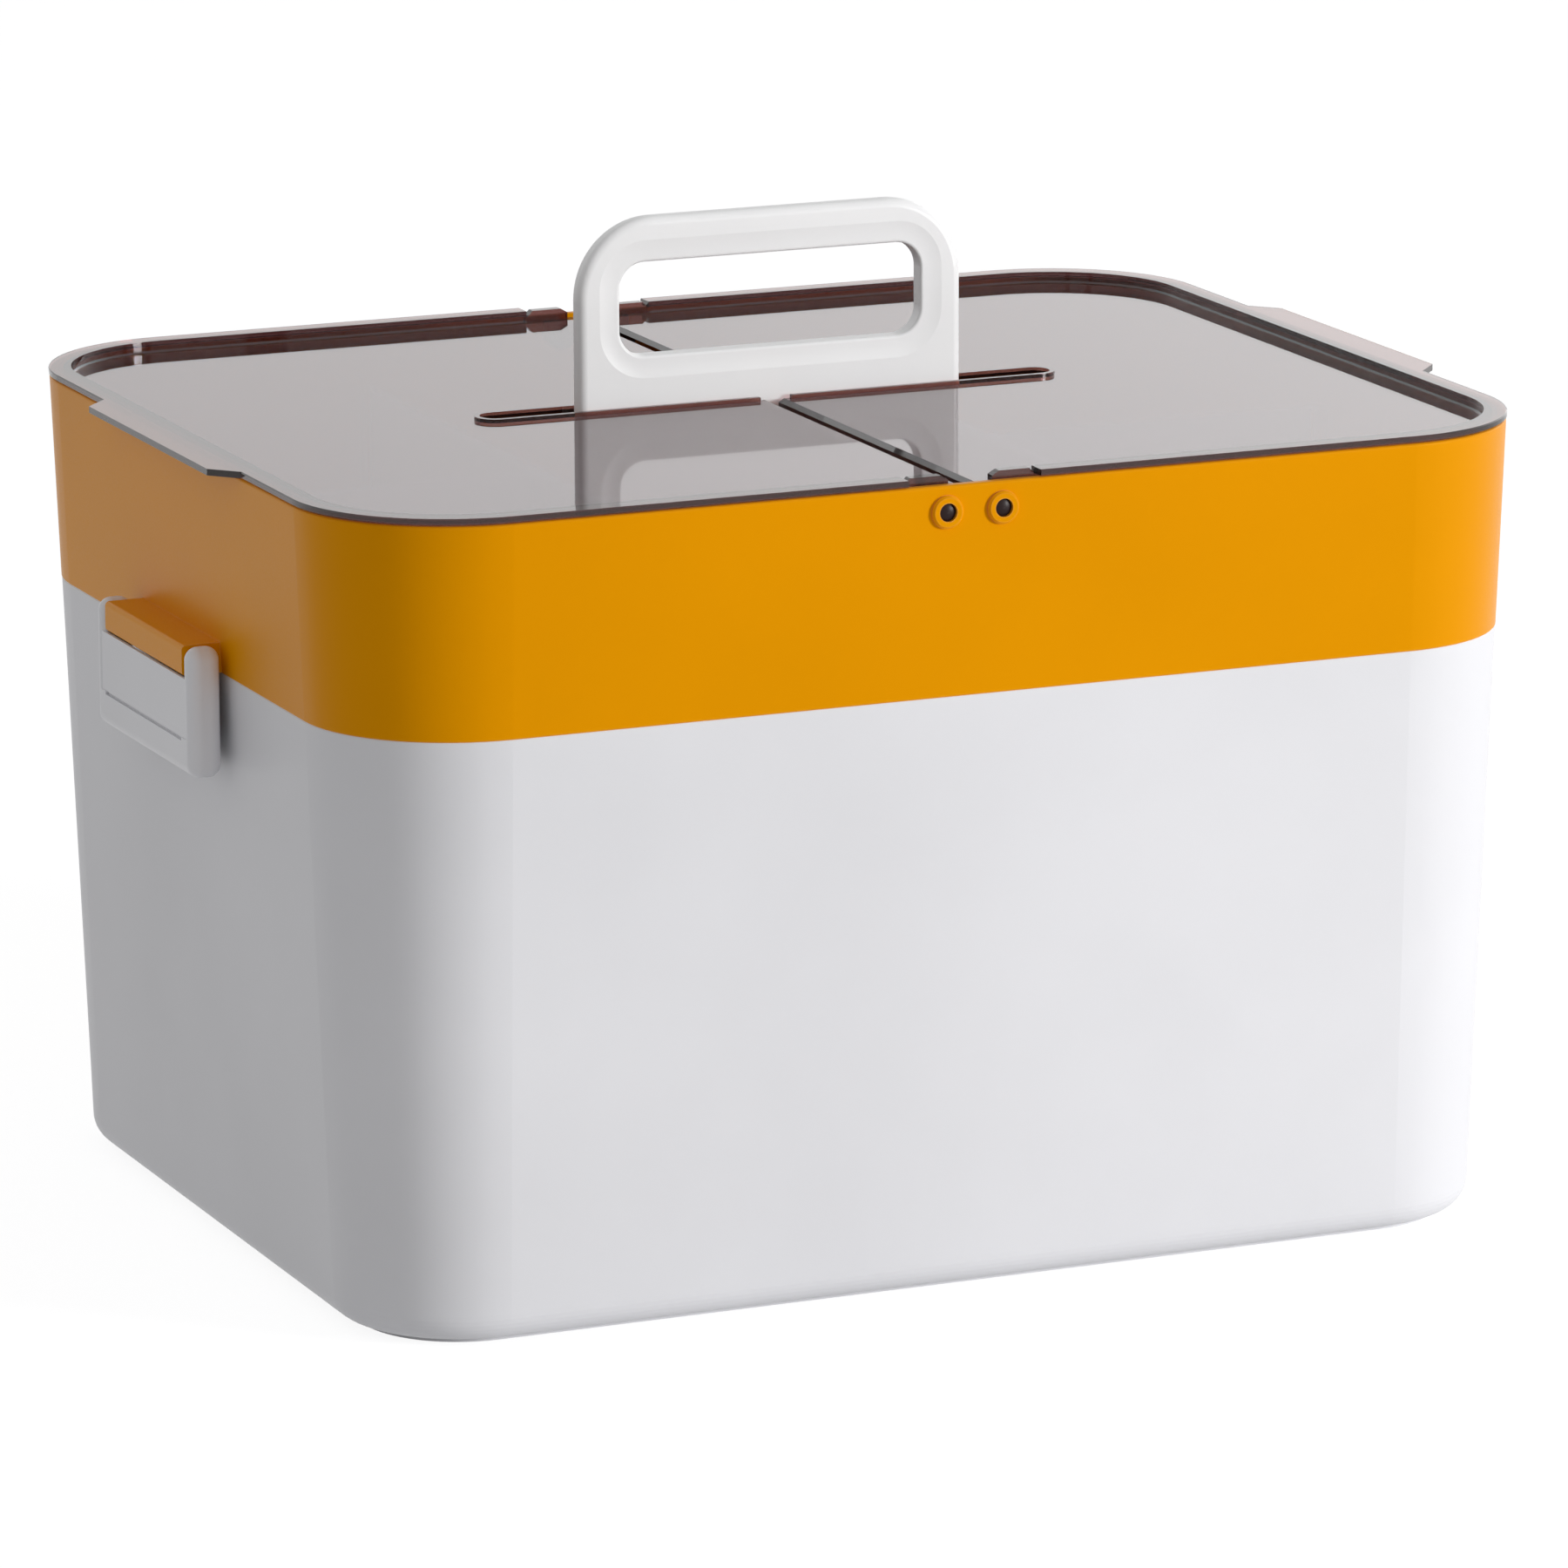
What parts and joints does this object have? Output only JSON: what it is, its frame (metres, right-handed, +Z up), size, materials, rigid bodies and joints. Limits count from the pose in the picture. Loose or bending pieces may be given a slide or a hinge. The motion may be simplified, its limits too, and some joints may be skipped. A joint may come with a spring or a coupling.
{
  "type": "medicine box",
  "caption": "Tiered medicine box: deep bin, lift-off divided tray with split hinged see-through lids, an upright plate handle and flap latches at the ends.",
  "frame": {"origin": "middle of the base, on the surface that the box stands on", "axes": "+X to the right along the length, +Y to the back, +Z up; the front faces -Y"},
  "size_m": [0.3476, 0.2642, 0.26],
  "materials": {
    "bin_plastic": "satin",
    "tray_plastic": "satin",
    "smoked_plastic": "gloss",
    "handle_plastic": "satin",
    "latch_plastic": "satin",
    "divider_plastic": "satin",
    "pin_plastic": "gloss",
    "pin_steel": "satin",
    "plated_steel": "satin"
  },
  "bodies": {
    "bin": {"lower_bin": "bin_plastic"},
    "tray": {"upper_tray": "tray_plastic", "handle": "handle_plastic", "handle_screws": "plated_steel", "front_left_hinge_pin": "pin_plastic", "front_right_hinge_pin": "pin_plastic", "back_left_hinge_pin": "pin_plastic", "back_right_hinge_pin": "pin_plastic", "left_latch_pin": "pin_steel", "right_latch_pin": "pin_steel", "left_long_divider": "divider_plastic", "right_long_divider": "divider_plastic", "left_cross_divider": "divider_plastic", "right_cross_divider": "divider_plastic"},
    "left_lid": {"left_lid": "smoked_plastic"},
    "right_lid": {"right_lid": "smoked_plastic"},
    "left_latch": {"left_latch": "latch_plastic"},
    "right_latch": {"right_latch": "latch_plastic"}
  },
  "joints": [
    {"name": "tray_lift", "type": "slide", "parent": "bin", "child": "tray", "axis": [0, 0, 1], "range_m": [0, 0.06]},
    {"name": "left_lid_hinge", "type": "hinge", "parent": "tray", "child": "left_lid", "pos_m": [-0.0076, 0, 0.2041], "axis": [0, 1, 0], "range_deg": [0, 60]},
    {"name": "right_lid_hinge", "type": "hinge", "parent": "tray", "child": "right_lid", "pos_m": [0.0076, 0, 0.2041], "axis": [0, -1, 0], "range_deg": [0, 60]},
    {"name": "left_latch_hinge", "type": "hinge", "parent": "tray", "child": "left_latch", "pos_m": [-0.17045, 0, 0.1614], "axis": [0, 1, 0], "range_deg": [0, 95]},
    {"name": "right_latch_hinge", "type": "hinge", "parent": "tray", "child": "right_latch", "pos_m": [0.17045, 0, 0.1614], "axis": [0, -1, 0], "range_deg": [0, 95]}
  ]
}
